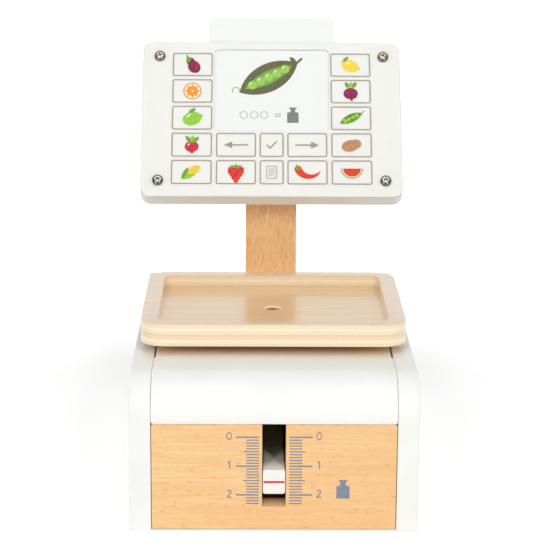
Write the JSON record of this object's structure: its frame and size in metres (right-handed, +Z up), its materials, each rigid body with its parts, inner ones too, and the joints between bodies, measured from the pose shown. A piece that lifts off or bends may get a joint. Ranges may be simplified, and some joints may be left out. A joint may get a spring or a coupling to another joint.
{
  "type": "toy shop scale",
  "caption": "Wooden toy shop scale: a tray on a sprung stem moves a pointer in a marked slot; a tilted keypad display on a post holds a picture card.",
  "frame": {"origin": "middle of the base board's underside, on the surface that the scale stands on", "axes": "+Z up, -Y towards the front with the pointer's slot, +X to the right seen from the front"},
  "size_m": [0.177, 0.2804, 0.2715],
  "materials": {
    "white_paint": "wood under satin white paint",
    "beech": "clear matt lacquer, grain across",
    "post_beech": "clear matt lacquer, grain upright",
    "tray_plywood": "clear gloss lacquer, plies showing at the edges",
    "inner_plywood": "bare plywood",
    "hardwood": "bare turned or sawn hardwood",
    "printed_sheet": "satin white with printed keys",
    "clear_pane": "clear acrylic",
    "card": "satin printed card",
    "screw_steel": "nickel-plated steel",
    "spring_steel": "drawn spring wire"
  },
  "bodies": {
    "housing": {"left_side_panel": "white_paint", "right_side_panel": "white_paint", "front_panel": "beech", "front_cover": "white_paint", "top_board": "inner_plywood", "back_panel": "white_paint", "base_board": "inner_plywood", "case_dowels": "hardwood", "stem_guide": "hardwood", "guide_screws": "screw_steel", "display_post": "post_beech", "post_screws": "screw_steel", "display_board": "white_paint", "board_screws": "screw_steel", "front_sheet": "printed_sheet", "window_pane": "clear_pane", "display_screws": "screw_steel", "coil_spring": "spring_steel"},
    "tray_unit": {"weighing_tray": "tray_plywood", "tray_screw": "screw_steel", "tray_stem": "hardwood", "pointer_arm": "white_paint", "spring_plate": "hardwood", "arm_screw": "screw_steel"},
    "card": {"picture_card": "card"}
  },
  "joints": [
    {"name": "tray_slide", "type": "slide", "parent": "housing", "child": "tray_unit", "axis": [0, 0, 1], "range_m": [-0.0055, 0.0275], "stiffness_N_per_m": 49.3, "springref_m": 0.0275, "deforming": ["coil_spring"]},
    {"name": "card_slide", "type": "slide", "parent": "housing", "child": "card", "axis": [0, 0.5736, 0.8192], "range_m": [0, 0.075]}
  ]
}
